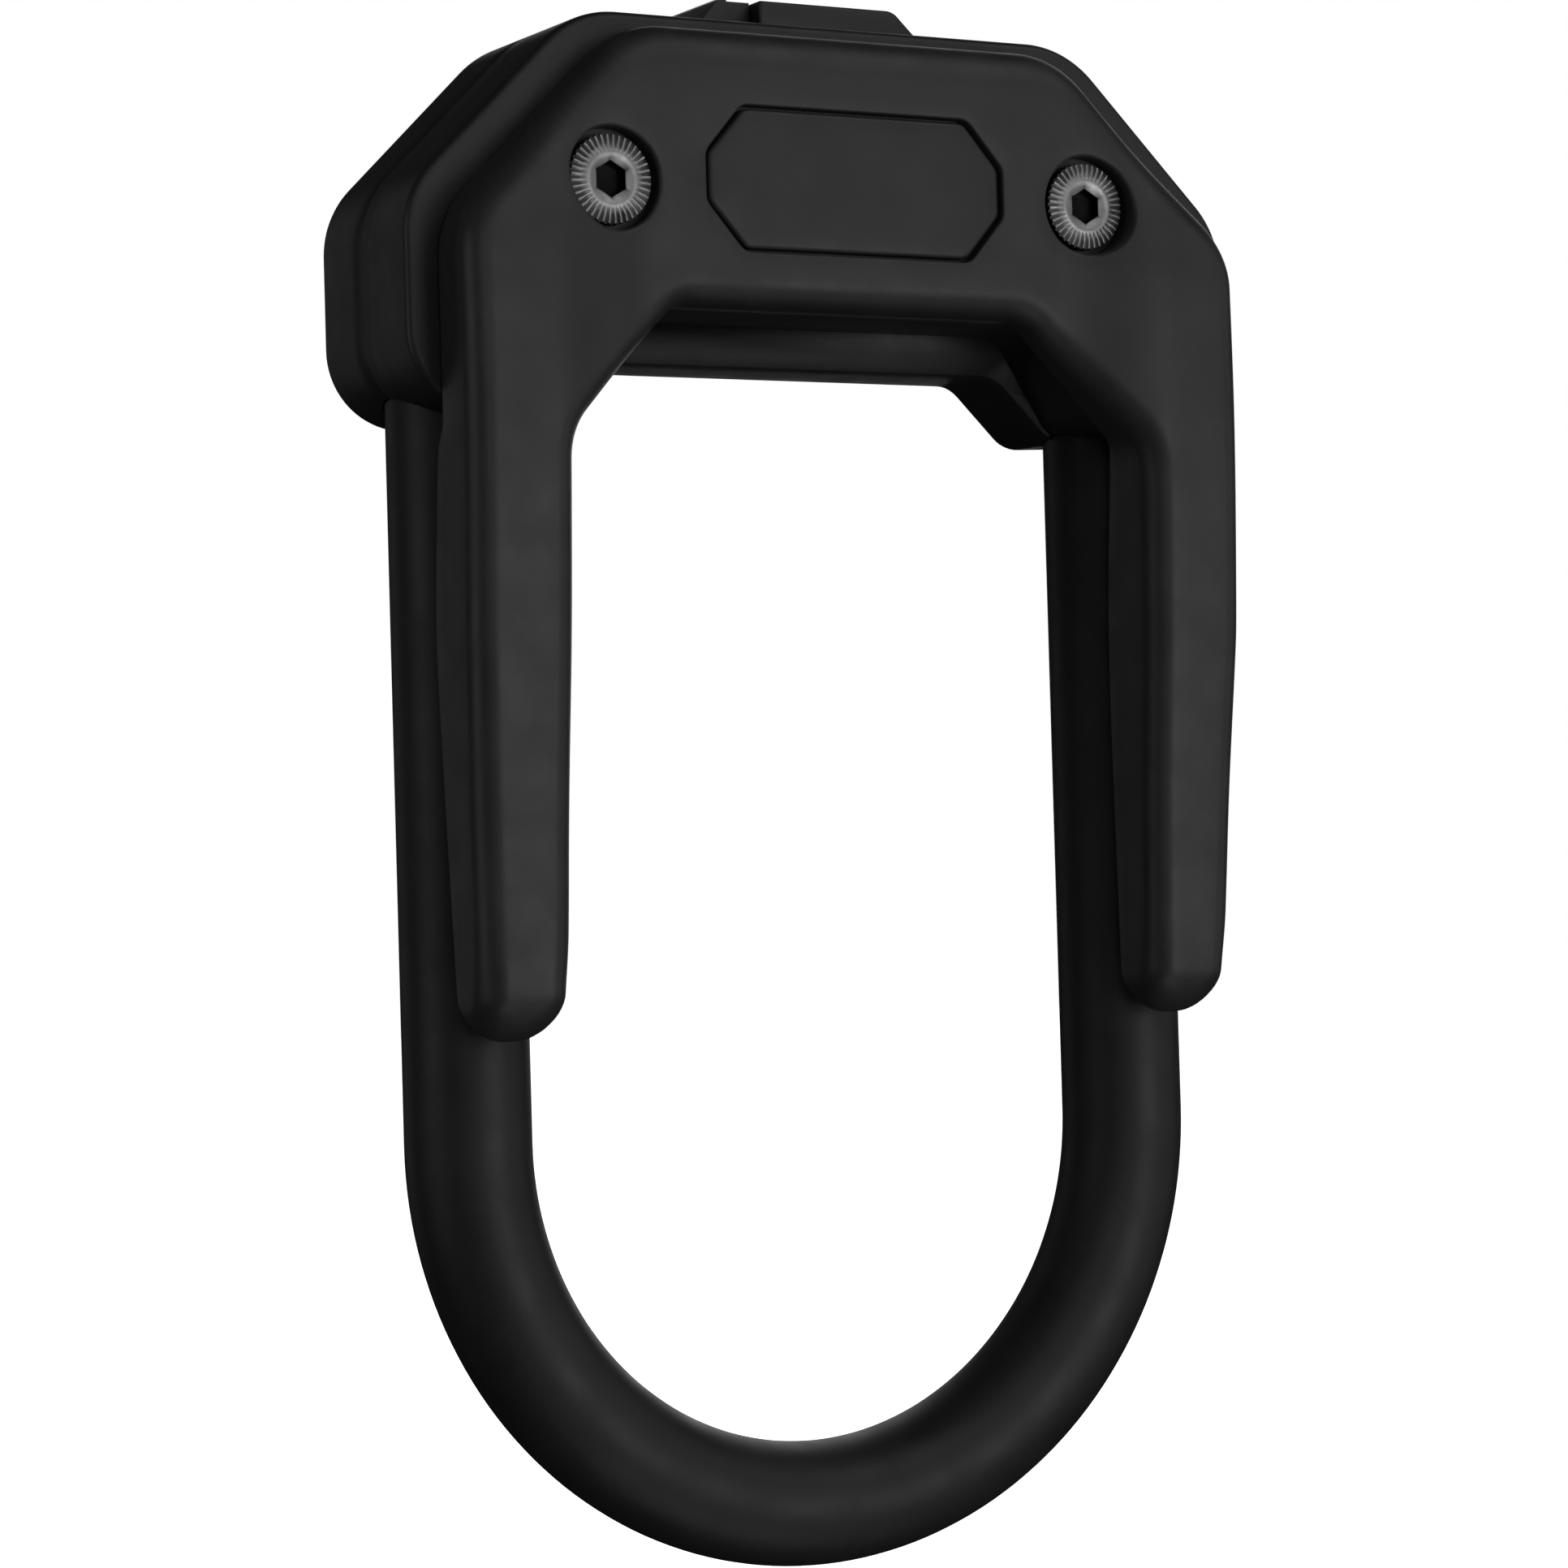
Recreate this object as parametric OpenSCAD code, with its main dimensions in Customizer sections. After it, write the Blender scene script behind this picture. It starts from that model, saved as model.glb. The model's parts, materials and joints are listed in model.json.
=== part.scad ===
// Bicycle u lock that is carried on a belt.
// The shackle hangs from a crossbar that holds a disc cylinder, a pin cam and two bolts.
// A moulded clip with two long prongs is screwed to the back of the crossbar.
// X runs across the legs, -Y is the clip side, +Z is up. The origin is the middle of the
// shackle opening's top edge. The lock stands unlocked, with its bolts drawn in.

/* [Shackle] */
// Diameter of the steel bar
bar_d = 14; // [11.6:0.1:14.4]
// Thickness of the soft sleeve over the bar
sleeve_t = 1.4; // [1:0.1:2.5]
// Distance between the centres of the two legs
leg_gap = 102; // [94:1:125]
// Inside height from the crossbar to the bend
opening_h = 145.5; // [115:0.5:240]
// Height of the leg tips above the underside of the crossbar
leg_in = 23; // [22.5:0.1:24]
// Taper on the leg tips
tip_taper = 4; // [3.5:0.1:5]

/* [Crossbar] */
// Reach of the crossbar beyond the middle of each leg
body_end = 12; // [11.5:0.1:15]
// Thickness of the crossbar, clip side to street side
body_t = 28; // [26:0.5:36]
// Height of the crossbar between the legs
body_h = 44.6; // [44:0.1:60]
// Size of the sloping top corners
body_slope = 25; // [20:0.5:27]
// Drop of the bosses that wrap round the legs
boss_drop = 9; // [8:0.1:16]
// Rise of each boss's underside towards the end of the crossbar
boss_rise = 0.8; // [0:0.1:1.5]
// Width of each boss
boss_w = 25; // [23:0.5:30]
// Step up of the rear shell's underside
rear_step = 5.5; // [2:0.5:6]
// Bevel along the outer edges of the front shell; the rear shell's is about half of it
edge_bevel = 1.4; // [0.8:0.1:3.4]
// Wall of the shells in front of and behind the core
shell_wall = 3.5; // [3:0.1:5]

/* [Belt clip] */
// Width of each prong
prong_w = 15.1; // [12:0.1:16]
// Distance from the top of the clip plate to the tips of the prongs
clip_h = 131.4; // [110:0.2:158]
// Thickness of the clip plate
clip_t = 6.5; // [5.5:0.1:8]
// Extra depth of the prongs where they leave the plate
prong_bulge = 3.4; // [0:0.1:5]
// Height of the clip plate below its top edge
plate_h = 36.4; // [34:0.1:38]
// Size of the sloping top corners of the plate
clip_slope = 25.7; // [15:0.1:28]
// Space between the sleeve and the prong tips
belt_gap = 1.6; // [1.2:0.1:4]
// Length of the badge
badge_l = 44.6; // [30:0.2:50]
// Height of the badge
badge_h = 18.4; // [12:0.2:20]
// Depth of the badge pocket
badge_t = 2; // [1:0.1:3]
// Width of the line round the badge
badge_line = 0.5; // [0.2:0.1:1]

/* [Clip screws] */
// Distance of each clip screw from the middle of its leg, towards the badge
screw_inset = 14.6; // [13:0.1:18]
// Height of the clip screws above the lower edge of the clip plate
screw_rise = 15.6; // [14:0.1:17]
// Diameter of the screw heads
screw_head_d = 11.8; // [9:0.1:12.5]
// Diameter of the screw shanks
screw_d = 5; // [4:0.5:5]

/* [Keyway cover] */
// Length of the sliding cover
cover_l = 25.4; // [24:0.2:30]
// Width of the sliding cover
cover_w = 15; // [12:0.5:18]
// Height of the sliding cover above the crossbar
cover_h = 4.3; // [2.5:0.1:5]
// Sliding distance of the cover
cover_travel = 13; // [8:0.5:13]

/* [Lock] */
// Diameter of the bolts
bolt_d = 8; // [6:0.5:8]
// Distance that each bolt moves
bolt_throw = 4; // [3:0.5:4]
// Outer diameter of the cylinder housing
housing_d = 17; // [16:0.5:18]
// Outer diameter of the rotating barrel
barrel_d = 12.4; // [11.5:0.1:12.6]
// Diameter of the detainer discs
disc_d = 8.8; // [8:0.1:9]
// Thickness of each detainer disc
disc_t = 2.3; // [1.5:0.1:2.5]

/* [Fits] */
// Space round a leg in its socket, on the radius
leg_clear = 0.1; // [0.06:0.01:0.3]
// Space round moving lock parts, on the radius
lock_clear = 0.06; // [0.04:0.01:0.1]
// Space round sliding plastic parts
slide_clear = 0.1; // [0.05:0.01:0.2]

/* [Hidden] */
$fn = 64;
eps = 0.02;

// shackle
leg_x = leg_gap / 2;
body_l = leg_gap + 2 * body_end;
sleeve_d = bar_d + 2 * sleeve_t;
bend_z = -(opening_h - leg_x + sleeve_d / 2);
seal_lo = -1.9;
seal_hi = -0.5;
seal_d = sleeve_d + 1.8;

// screws that join the shells, just above the core
shell_screw_x = leg_x - 21.5;
shell_head_d = 4.2;
shell_screw_d = 2.5;
shell_screw_z = body_h - 5.6;

// core: everything steel is placed from the bolt line
core_t = body_t - 2 * shell_wall;
core_x = body_l / 2 - 3.3;
core_lo = 7.6;
core_hi = body_h - 7.5;
core_foot = -3;
core_bevel_sum = body_l / 2 + body_h - body_slope - 3.6;
socket_top = leg_in + 0.4;
sleeve_top = core_foot - 0.3;
sleeve_bore = sleeve_d + 0.6;
foot_in = leg_x - bar_d / 2 - leg_clear - 2.1;

// bolt line
bolt_z = 13;
tongue_gap = 0.2;
channel_d = bolt_d + 2 * lock_clear;
bolt_lead = 1.2;
notch_in = leg_x - bar_d / 2;
bolt_tip = notch_in - 0.4;
notch_depth = bolt_throw + 0.6;
pin_d = 3;
pin_r = bolt_throw;
slot_lost = pin_r * 0.215;
tongue_wall = 1.5;
tongue_back = pin_d / 2 + tongue_wall + 0.05;
tongue_out = pin_r + pin_d / 2 + 1;
tongue_open = pin_r * 0.45;
pocket_x = tongue_back + bolt_throw + 4.7;
pocket_y = tongue_out + 0.4;
pocket_lo = bolt_z - bolt_d / 2 - 0.2;
pocket_hi = bolt_z + bolt_d / 2 + 0.2;
cam_t = 1.9;
cam_d = 2 * (pin_r + pin_d / 2 + 0.75);

// cylinder
housing_lo = pocket_hi + cam_t + 0.15;
housing_hi = body_h - 1.1;
barrel_lo = pocket_hi + cam_t;
barrel_hi = housing_hi - 0.2;
barrel_floor = 3.9;
disc_lo = barrel_lo + barrel_floor;
guard_t = 1.6;
disc_n = 6;
disc_pitch = (barrel_hi - guard_t - 0.4 - disc_lo) / disc_n;
key_w = 2.2;
key_l = 5.6;
bar_rod = 1.6;

// clip
plate_top = body_h - 2.4;
plate_lo = plate_top - plate_h;
tip_z = plate_top - clip_h;
clip_y = -body_t / 2 - clip_t;
prong_x = leg_x + 0.25;
clip_w = 2 * prong_x + prong_w;
prong_gap = 2 * prong_x - prong_w;
screw_gap = 2 * (leg_x - screw_inset);
screw_z = plate_lo + screw_rise;
prong_back_tip = -sleeve_d / 2 - belt_gap;
boss_z = -boss_drop;

// keyway cover
cover_x0 = -6.9;
stop_x0 = -17.4;
stop_x1 = -7.2;
rib_x0 = cover_x0 + 16.9;
rib_l = 6.5;

black = [0.13, 0.13, 0.13];
soft_black = [0.1, 0.1, 0.1];
steel = [0.62, 0.62, 0.64];
brass = [0.78, 0.65, 0.36];

// ---------- shared shapes ----------

// stands a flat x-z drawing up so that it fills y0 to y1
module upright(y0, y1) {
    translate([0, y1, 0]) rotate([90, 0, 0]) linear_extrude(y1 - y0) children();
}

// cylinder along Y from y0 to y1
module rod_y(d, y0, y1) {
    translate([0, y1, 0]) rotate([90, 0, 0]) cylinder(d = d, h = y1 - y0);
}

// cylinder along X from x0 to x1
module rod_x(d, x0, x1) {
    translate([x0, 0, 0]) rotate([0, 90, 0]) cylinder(d = d, h = x1 - x0);
}

module rod_z(d, z0, z1) {
    translate([0, 0, z0]) cylinder(d = d, h = z1 - z0);
}

// outline of the crossbar with its bosses; low is the height of the middle underside
module bar_outline(low) {
    x1 = body_l / 2;
    x2 = x1 - body_slope;
    xb = x1 - boss_w;
    offset(r = 7, $fn = 48) offset(delta = -7)
    offset(r = -6, $fn = 48) offset(delta = 6)
    polygon([
        [-x2, body_h], [x2, body_h], [x1, body_h - body_slope], [x1, boss_z + boss_rise],
        [xb + 4.2, boss_z], [xb - 4.8, low], [-xb + 4.8, low], [-xb - 4.2, boss_z],
        [-x1, boss_z + boss_rise], [-x1, body_h - body_slope]
    ]);
}

// wedges that bevel the outer edge of a shell; side is 1 for the street side
module edge_wedges(side) {
    e = edge_bevel * (side > 0 ? 1 : 0.45) * sqrt(2);
    big = 3 * body_l;
    x1 = body_l / 2;
    y1 = side * body_t / 2;
    slope_a = 45;
    // top edge
    translate([0, y1, body_h]) rotate([45, 0, 0]) cube([big, e, e], center = true);
    for (s = [-1, 1]) {
        // end edges
        translate([s * x1, y1, 0]) rotate([0, 0, 45]) cube([e, e, big], center = true);
        // sloping edges
        translate([s * (x1 - body_slope / 2), y1, body_h - body_slope / 2])
            rotate([0, s * slope_a, 0]) rotate([45, 0, 0]) cube([big, e, e], center = true);
    }
}

// steel core, grown by g on every side
module core_solid(g = 0) {
    upright(-core_t / 2 - g, core_t / 2 + g) intersection() {
        union() {
            translate([-core_x - g, core_lo - g]) square([2 * (core_x + g), core_hi - core_lo + 2 * g]);
            for (s = [-1, 1])
                translate([s > 0 ? foot_in - g : -core_x - g, core_foot - g])
                    square([core_x - foot_in + 2 * g, core_lo - core_foot + 2 * g]);
        }
        polygon([
            [-core_bevel_sum + core_hi + g, core_hi + g], [core_bevel_sum - core_hi - g, core_hi + g],
            [core_x + g, core_bevel_sum - core_x - g], [core_x + g, core_foot - g],
            [-core_x - g, core_foot - g], [-core_x - g, core_bevel_sum - core_x - g]
        ]);
    }
}

// everything that the two shells leave room for
module shell_voids() {
    core_solid();
    for (s = [-1, 1]) translate([s * leg_x, 0, 0]) {
        rod_z(sleeve_bore, boss_z - 1, core_foot + eps);
        rod_z(seal_d, core_foot + seal_lo, core_foot + seal_hi);
    }
    // cylinder housing and bezel
    rod_z(housing_d, core_hi - eps, body_h + 1);
    translate([stop_x0, -cover_w / 2 - 1, body_h - 1.1])
        cube([rib_x0 - 0.5 - stop_x0, cover_w + 2, 2]);
    // guide for the rib of the cover
    translate([rib_x0 - slide_clear, -1.5 - slide_clear, body_h - 4])
        cube([rib_l + cover_travel + 2 * slide_clear + 0.5, 3 + 2 * slide_clear, 5]);
    translate([rib_x0 - slide_clear, -3 - slide_clear, body_h - 3.9])
        cube([rib_l + cover_travel + 2 * slide_clear + 0.5, 6 + 2 * slide_clear, 1.8 + slide_clear]);
    // clip screws
    for (s = [-1, 1]) translate([s * screw_gap / 2, 0, screw_z])
        rod_y(screw_d + 0.4, -body_t, -core_t / 2 + eps);
    // shell screws
    for (s = [-1, 1]) translate([s * shell_screw_x, 0, shell_screw_z]) {
        rod_y(shell_screw_d, -body_t, body_t / 2 - 5);
        rod_y(shell_head_d, -body_t, -body_t / 2 + 2);
    }
    // set screw of the housing
    translate([0, 0, set_z]) rod_y(4, -core_t / 2 - 1, 0);
}

set_z = (housing_lo + core_hi) / 2;

module front_shell() {
    color(black) difference() {
        upright(0, body_t / 2) bar_outline(0);
        edge_wedges(1);
        shell_voids();
    }
}

module rear_shell() {
    color(black) difference() {
        upright(-body_t / 2, 0) bar_outline(rear_step);
        edge_wedges(-1);
        shell_voids();
    }
}

// octagon with a flat top and bottom
module octagon(l, h) {
    cx = l * 0.121;
    cz = h * 0.33;
    polygon([
        [-l / 2 + cx, h / 2], [l / 2 - cx, h / 2], [l / 2, h / 2 - cz], [l / 2, -h / 2 + cz],
        [l / 2 - cx, -h / 2], [-l / 2 + cx, -h / 2], [-l / 2, -h / 2 + cz], [-l / 2, h / 2 - cz]
    ]);
}

badge_z = plate_lo + plate_h * 0.4566;

// front outline of the clip
module clip_outline() {
    x1 = clip_w / 2;
    xi = prong_gap / 2;
    xt = x1 - 1.8;
    ci = prong_w * 1.133;
    offset(r = 6, $fn = 48) offset(delta = -6)
    polygon([
        [-x1 + clip_slope, plate_top], [x1 - clip_slope, plate_top], [x1, plate_top - clip_slope],
        [x1, plate_lo - 43], [xt, tip_z], [xi + 0.8, tip_z], [xi, plate_lo - ci],
        [xi - ci, plate_lo], [-xi + ci, plate_lo], [-xi, plate_lo - ci], [-xi - 0.8, tip_z],
        [-xt, tip_z], [-x1, plate_lo - 43], [-x1, plate_top - clip_slope]
    ]);
}

// side profile of the prongs in y-z
module prong_profile() {
    yb = -body_t / 2;
    yf = clip_y - prong_bulge;
    polygon([
        [clip_y, plate_top - 12], [yf, plate_lo + 5], [yf - 0.2, plate_lo - 10],
        [yf + 0.7, plate_lo - 38], [yf + 2.9, plate_lo - 64], [clip_y + 1, tip_z + 6],
        [clip_y + 3, tip_z], [prong_back_tip - 3, tip_z], [prong_back_tip, tip_z + 6],
        [prong_back_tip, plate_lo - 53], [yb + 2, boss_z - 5],
        [yb, boss_z - 1], [yb, plate_top - 12]
    ]);
}

module clip_frame() {
    color(black) difference() {
        union() {
            intersection() {
                upright(clip_y, -body_t / 2) clip_outline();
                translate([-body_l, -body_t * 2, plate_lo - 16])
                    cube([2 * body_l, body_t * 4, plate_h + 20]);
            }
            intersection() {
                upright(clip_y - prong_bulge - 2, -2) clip_outline();
                for (s = [-1, 1])
                    translate([s > 0 ? prong_gap / 2 - 2 : -clip_w / 2 - 1, 0, 0])
                        rotate([90, 0, 90]) linear_extrude(prong_w + 3) prong_profile();
            }
        }
        // badge pocket
        translate([0, 0, badge_z]) upright(clip_y - 1, clip_y + badge_t)
            octagon(badge_l + 2 * badge_line, badge_h + 2 * badge_line);
        // screw recesses
        for (s = [-1, 1]) translate([s * screw_gap / 2, 0, screw_z]) {
            rod_y(screw_head_d + 1.8, clip_y - 5, clip_y + 2.6);
            rod_y(screw_d + 0.4, clip_y, 0);
        }
    }
}

module badge_insert() {
    color(soft_black) translate([0, 0, badge_z])
        upright(clip_y + 0.15, clip_y + badge_t) octagon(badge_l, badge_h);
}

module clip_screw() {
    color(steel) translate([screw_gap / 2, 0, screw_z]) difference() {
        union() {
            rod_y(screw_head_d, clip_y + 0.4, clip_y + 2.6);
            rod_y(screw_d, clip_y + 2.6 - eps, -core_t / 2 + 3.6);
        }
        translate([0, clip_y + 2.2, 0]) rotate([90, 0, 0]) cylinder(d = 5.2, h = 3, $fn = 6);
    }
}

module clip_screw_left() { mirror([1, 0, 0]) clip_screw(); }
module clip_screw_right() { clip_screw(); }

module shell_screw() {
    color(steel) translate([shell_screw_x, 0, shell_screw_z]) difference() {
        union() {
            rod_y(shell_head_d, -body_t / 2 + 0.2, -body_t / 2 + 2);
            rod_y(shell_screw_d, -body_t / 2 + 2 - eps, body_t / 2 - 5.2);
        }
        rod_y(2.2, -body_t / 2, -body_t / 2 + 1.2);
    }
}

module shell_screw_left() { mirror([1, 0, 0]) shell_screw(); }
module shell_screw_right() { shell_screw(); }

module lock_core() {
    color(steel) difference() {
        core_solid();
        // leg sockets
        for (s = [-1, 1]) translate([s * leg_x, 0, 0]) socket();
        // bolt channel, cam pocket and chamber, cylinder bore
        translate([0, 0, bolt_z]) rod_x(channel_d, -body_l, body_l);
        translate([-pocket_x, -pocket_y, pocket_lo]) cube([2 * pocket_x, 2 * pocket_y, pocket_hi - pocket_lo]);
        rod_z(cam_d + 0.6, pocket_hi - eps, housing_lo + eps);
        rod_z(housing_d, housing_lo, core_hi + 1);
        // relief where the bolts enter the leg sockets
        for (s = [-1, 1]) translate([s * (notch_in + 0.7), 0, bolt_z])
            cube([2.2, bolt_d + 0.24, bolt_d + 0.24], center = true);
        // clip screws and set screw
        for (s = [-1, 1]) translate([s * screw_gap / 2, 0, screw_z])
            rod_y(screw_d, -core_t, -core_t / 2 + 3.8);
        translate([0, 0, set_z]) rod_y(4, -core_t, 0);
    }
}

// hole for a leg with a tapered end
module socket() {
    r = bar_d / 2 + leg_clear;
    rod_z(2 * r, core_foot - 1, socket_top - tip_taper);
    translate([0, 0, socket_top - tip_taper - eps]) cylinder(r1 = r, r2 = r - tip_taper, h = tip_taper + eps);
}

module channel_plug() {
    color(steel) translate([0, 0, bolt_z]) rod_x(channel_d, leg_x + bar_d / 2 + leg_clear + 0.3, core_x);
}

module channel_plug_left() { mirror([1, 0, 0]) channel_plug(); }
module channel_plug_right() { channel_plug(); }

module leg_seal() {
    color(soft_black) translate([leg_x, 0, 0]) difference() {
        rod_z(seal_d, core_foot + seal_lo, core_foot + seal_hi);
        rod_z(sleeve_d + 2 * leg_clear, boss_z - 1, core_foot);
    }
}

module leg_seal_left() { mirror([1, 0, 0]) leg_seal(); }
module leg_seal_right() { leg_seal(); }

module cylinder_housing() {
    color(brass) difference() {
        rod_z(housing_d, housing_lo, housing_hi);
        rod_z(barrel_d + 2 * lock_clear, housing_lo - 1, housing_hi + 1);
        // groove that the side bar drops into
        translate([barrel_d / 2, 0, 0]) rod_z(bar_rod + 0.2, disc_lo, barrel_hi - guard_t - 1);
        translate([0, 0, set_z]) rod_y(4, -housing_d, -housing_d / 2 + 1.2);
    }
}

module housing_set_screw() {
    color(steel) translate([0, 0, set_z]) difference() {
        rod_y(4, -core_t / 2, -housing_d / 2 + 1.2);
        translate([0, -core_t / 2 + 1, 0]) rotate([90, 0, 0]) cylinder(d = 2.2, h = 2, $fn = 6);
    }
}

module key_slot(z0, z1) {
    translate([-key_w / 2, -key_l / 2, z0]) cube([key_w, key_l, z1 - z0]);
}

module cylinder_barrel() {
    color(brass) difference() {
        rod_z(barrel_d, barrel_lo, barrel_hi);
        rod_z(disc_d + 0.1, disc_lo, barrel_hi + 1);
        // slot for the side bar
        translate([disc_d / 2, -bar_rod / 2, disc_lo]) cube([barrel_d, bar_rod, barrel_hi - guard_t - 1 - disc_lo]);
        // square hole for the cam
        translate([-2.2, -2.2, barrel_lo - 1]) cube([4.4, 4.4, 3.4]);
    }
}

module drill_guard() {
    color(steel) difference() {
        rod_z(disc_d + 0.1, barrel_hi - guard_t, barrel_hi - 0.1);
        key_slot(barrel_hi - guard_t - 1, barrel_hi + 1);
    }
}

module detainer(i) {
    z = disc_lo + (i - 1) * disc_pitch + 0.1;
    color(brass) difference() {
        rod_z(disc_d, z, z + disc_t);
        rotate([0, 0, 0]) key_slot(z - 1, z + disc_t + 1);
        translate([disc_d / 2, 0, 0]) rotate([0, 0, 15 * i]) translate([-disc_d, -0.6, z - 1])
            cube([1.2, 1.2, disc_t + 2]);
    }
}

module disc_1() { detainer(1); }
module disc_2() { detainer(2); }
module disc_3() { detainer(3); }
module disc_4() { detainer(4); }
module disc_5() { detainer(5); }
module disc_6() { detainer(6); }

module side_bar() {
    color(steel) translate([(disc_d + barrel_d) / 4, 0, 0])
        rod_z(bar_rod - 0.05, disc_lo + 0.1, barrel_hi - guard_t - 1.1);
}

// disc with two pins that work in the slots of the bolt tongues
module drive_cam() {
    color(steel) {
        difference() {
            union() {
                rod_z(cam_d, pocket_hi, pocket_hi + cam_t);
                translate([0, -pin_r, 0]) rod_z(pin_d, bolt_z + tongue_gap, pocket_hi + eps);
                translate([0, pin_r, 0]) rod_z(pin_d, pocket_lo + 0.4, pocket_hi + eps);
                translate([-2.15, -2.15, pocket_hi + cam_t - eps]) cube([4.3, 4.3, 2.2]);
            }
        }
    }
}

// bolt at the +X end; its tongue lies between z0 and z1
module bolt_shape(z0, z1) {
    root = pocket_x - bolt_throw - 0.6;
    translate([0, 0, bolt_z]) rod_x(bolt_d, root, bolt_tip - bolt_lead);
    translate([bolt_tip - bolt_lead - eps, 0, bolt_z]) rotate([0, 90, 0])
        cylinder(d1 = bolt_d, d2 = bolt_d - 2 * bolt_lead, h = bolt_lead + eps);
    difference() {
        translate([-tongue_back, -tongue_out, z0])
            cube([root + tongue_back + eps, tongue_out + tongue_open, z1 - z0]);
        // slot, open at one end, that gives the pin its lost motion
        translate([-pin_d / 2 - 0.05, -pin_r - pin_d / 2 - 0.1, z0 - 1])
            cube([pin_d + 0.1 + slot_lost + 0.15, tongue_out + tongue_open + 2, z1 - z0 + 2]);
    }
}

module bolt_right() {
    color(steel) bolt_shape(bolt_z + tongue_gap, bolt_z + bolt_d / 2 - 0.6);
}

module bolt_left() {
    color(steel) rotate([0, 0, 180]) bolt_shape(bolt_z - bolt_d / 2 + 0.6, bolt_z - tongue_gap);
}

module key_bezel() {
    zt = body_h + cover_h;
    color(black) difference() {
        union() {
            translate([stop_x0, -cover_w / 2 - 1, body_h - 1.1]) cube([rib_x0 - 0.5 - stop_x0, cover_w + 2, 1.05]);
            rotate([90, 0, 0]) translate([0, 0, -cover_w / 2]) linear_extrude(cover_w)
                polygon([[stop_x0, body_h - 1], [stop_x0 + 4, zt - 0.5], [stop_x0 + 4.8, zt],
                    [stop_x1, zt], [stop_x1, body_h - 1]]);
        }
        // finger notch
        translate([stop_x0 + 5.4, -cover_w, body_h]) cube([20, cover_w / 2 + 2.4, 2 * cover_h]);
        rod_z(barrel_d, body_h - 3, body_h + 1);
    }
}

module dust_cover() {
    z0 = body_h + slide_clear;
    zt = body_h + cover_h;
    x1 = cover_x0 + cover_l;
    color(black) {
        rotate([90, 0, 0]) translate([0, 0, -cover_w / 2]) linear_extrude(cover_w)
            polygon([[cover_x0, z0], [cover_x0, zt], [x1 - 5, zt], [x1 - 4, zt - 0.4], [x1, z0]]);
        translate([rib_x0, -1.5, body_h - 2.5]) cube([rib_l, 3, 2.5 + 2 * slide_clear]);
        translate([rib_x0, -3, body_h - 3.8]) cube([rib_l, 6, 1.6]);
    }
}

module leg_pair(d, z0, z1) {
    for (s = [-1, 1]) translate([s * leg_x, 0, 0]) rod_z(d, z0, z1);
}

module bend(d) {
    translate([0, 0, bend_z]) rotate([-90, 0, 0])
        rotate_extrude(angle = 180) translate([leg_x, 0]) circle(d = d);
}

module shackle_bar() {
    color(steel) difference() {
        union() {
            bend(bar_d);
            leg_pair(bar_d, bend_z, leg_in - tip_taper);
            for (s = [-1, 1]) translate([s * leg_x, 0, leg_in - tip_taper])
                cylinder(r1 = bar_d / 2, r2 = bar_d / 2 - tip_taper, h = tip_taper);
        }
        // milled notches for the bolts
        for (s = [-1, 1])
            translate([s * (notch_in + notch_depth / 2 - 1), 0, bolt_z])
                cube([notch_depth + 2, bar_d + 2, bolt_d + 1.2], center = true);
    }
}

module shackle_sleeve() {
    color(soft_black) difference() {
        union() {
            bend(sleeve_d);
            leg_pair(sleeve_d, bend_z, sleeve_top);
        }
        bend(bar_d);
        leg_pair(bar_d, bend_z - eps, sleeve_top + 1);
    }
}

front_shell();
rear_shell();
clip_frame();
badge_insert();
clip_screw_left();
clip_screw_right();
shell_screw_left();
shell_screw_right();
lock_core();
channel_plug_left();
channel_plug_right();
leg_seal_left();
leg_seal_right();
cylinder_housing();
housing_set_screw();
cylinder_barrel();
drill_guard();
disc_1();
disc_2();
disc_3();
disc_4();
disc_5();
disc_6();
side_bar();
drive_cam();
bolt_left();
bolt_right();
key_bezel();
dust_cover();
shackle_bar();
shackle_sleeve();
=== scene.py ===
"""Bicycle u lock with a pronged belt clip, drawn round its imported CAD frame.

The frame is in metres. Shapes below are worked out in millimetres and scaled when a mesh is made.
+Z is up, X runs across the legs and -Y is the clip side.
"""

import json
import math

import bmesh
import bpy
from mathutils import Matrix, Vector
from mathutils.geometry import delaunay_2d_cdt

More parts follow.
